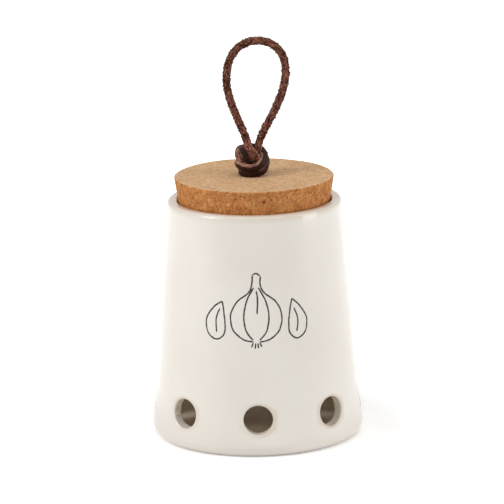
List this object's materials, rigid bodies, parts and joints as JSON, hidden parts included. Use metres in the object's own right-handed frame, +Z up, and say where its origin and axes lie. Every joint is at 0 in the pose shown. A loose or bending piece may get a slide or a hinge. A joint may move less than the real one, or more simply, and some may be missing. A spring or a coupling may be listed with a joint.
{
  "type": "garlic keeper",
  "caption": "Tapered glazed stoneware jar with round air vents near its foot, a wedged cork stopper and a knotted leather lace loop to lift it by.",
  "frame": {"origin": "centre of the foot ring, on the table", "axes": "+Z up through the stopper, front vent towards -Y, the lace loop lies across X"},
  "size_m": [0.1026, 0.1026, 0.1963],
  "materials": {
    "glazed_stoneware": "glossy off-white glaze, bare on the foot ring",
    "agglomerated_cork": "fine pressed cork granules, sanded top",
    "brown_leather": "rough suede with one smooth grain side"
  },
  "bodies": {
    "pot": {"stoneware_pot": "glazed_stoneware"},
    "stopper": {"cork_stopper": "agglomerated_cork"},
    "lace": {"top_knot": "brown_leather", "lace_in_hole": "brown_leather", "under_knot": "brown_leather", "left_tail": "brown_leather", "right_tail": "brown_leather"},
    "loop": {"lace_loop": "brown_leather"}
  },
  "joints": [
    {"name": "lid_lift", "type": "slide", "parent": "pot", "child": "stopper", "axis": [0, 0, 1], "range_m": [0, 0.1]},
    {"name": "lace_swivel", "type": "hinge", "parent": "stopper", "child": "lace", "pos_m": [0, 0, 0.1277], "axis": [0, 0, 1], "continuous": true},
    {"name": "loop_fold", "type": "hinge", "parent": "lace", "child": "loop", "pos_m": [0, 0, 0.1447], "axis": [1, 0, 0], "range_deg": [-75, 75], "stiffness_Nm_per_rad": 0.002}
  ]
}
